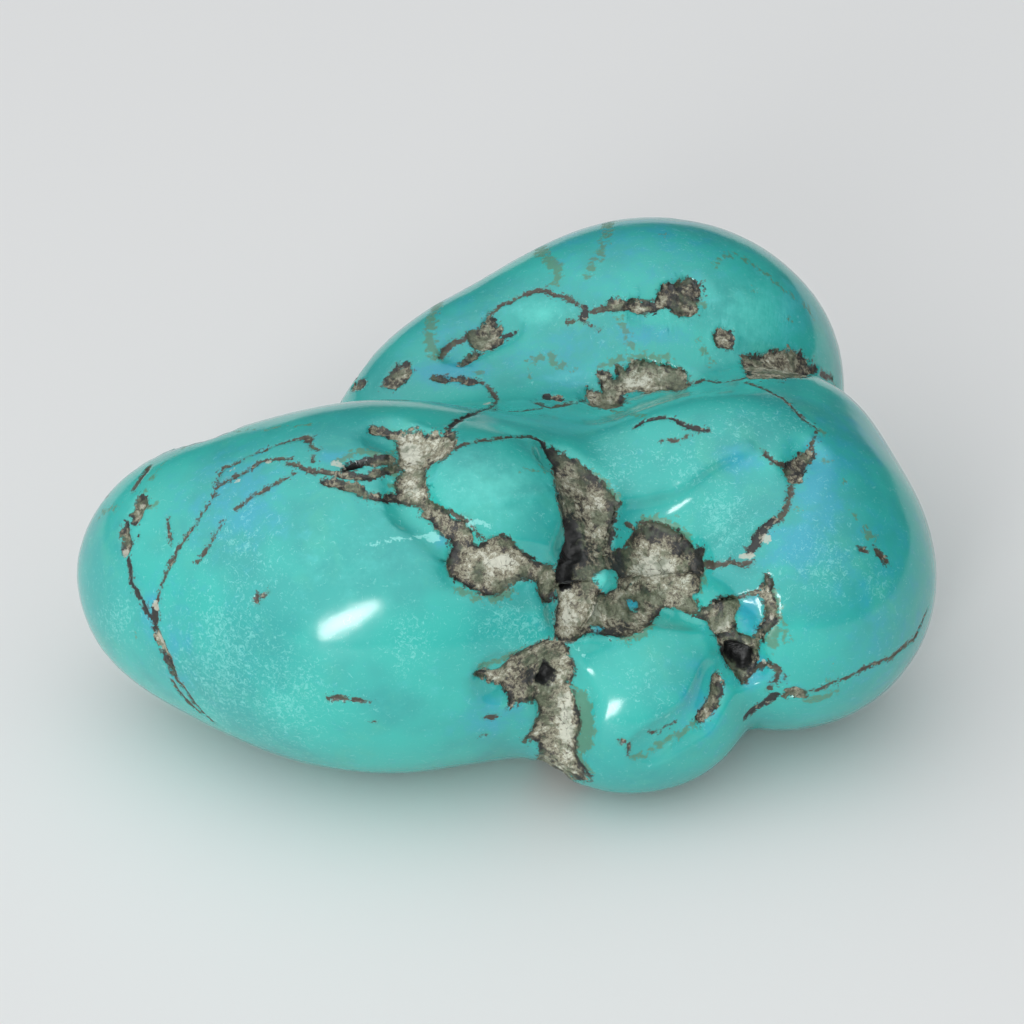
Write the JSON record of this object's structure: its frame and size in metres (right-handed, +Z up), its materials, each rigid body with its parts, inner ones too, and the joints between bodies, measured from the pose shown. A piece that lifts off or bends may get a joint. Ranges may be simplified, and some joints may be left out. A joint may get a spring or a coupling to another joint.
{
  "type": "tumbled turquoise nugget",
  "caption": "Polished turquoise stone of three joined lobes with a low front bump, worn hollows and a flat underside that it rests on",
  "frame": {"origin": "middle of the bounding box at the underside, on the surface that the stone rests on", "axes": "+X to the stone's right along its longest side, +Y to the lobe behind, +Z up"},
  "size_m": [0.055, 0.048, 0.023],
  "materials": {
    "turquoise": "polished turquoise stone with brown and black host rock in its hollows and veins"
  },
  "bodies": {
    "root": {"turquoise_nugget": "turquoise"}
  },
  "joints": []
}
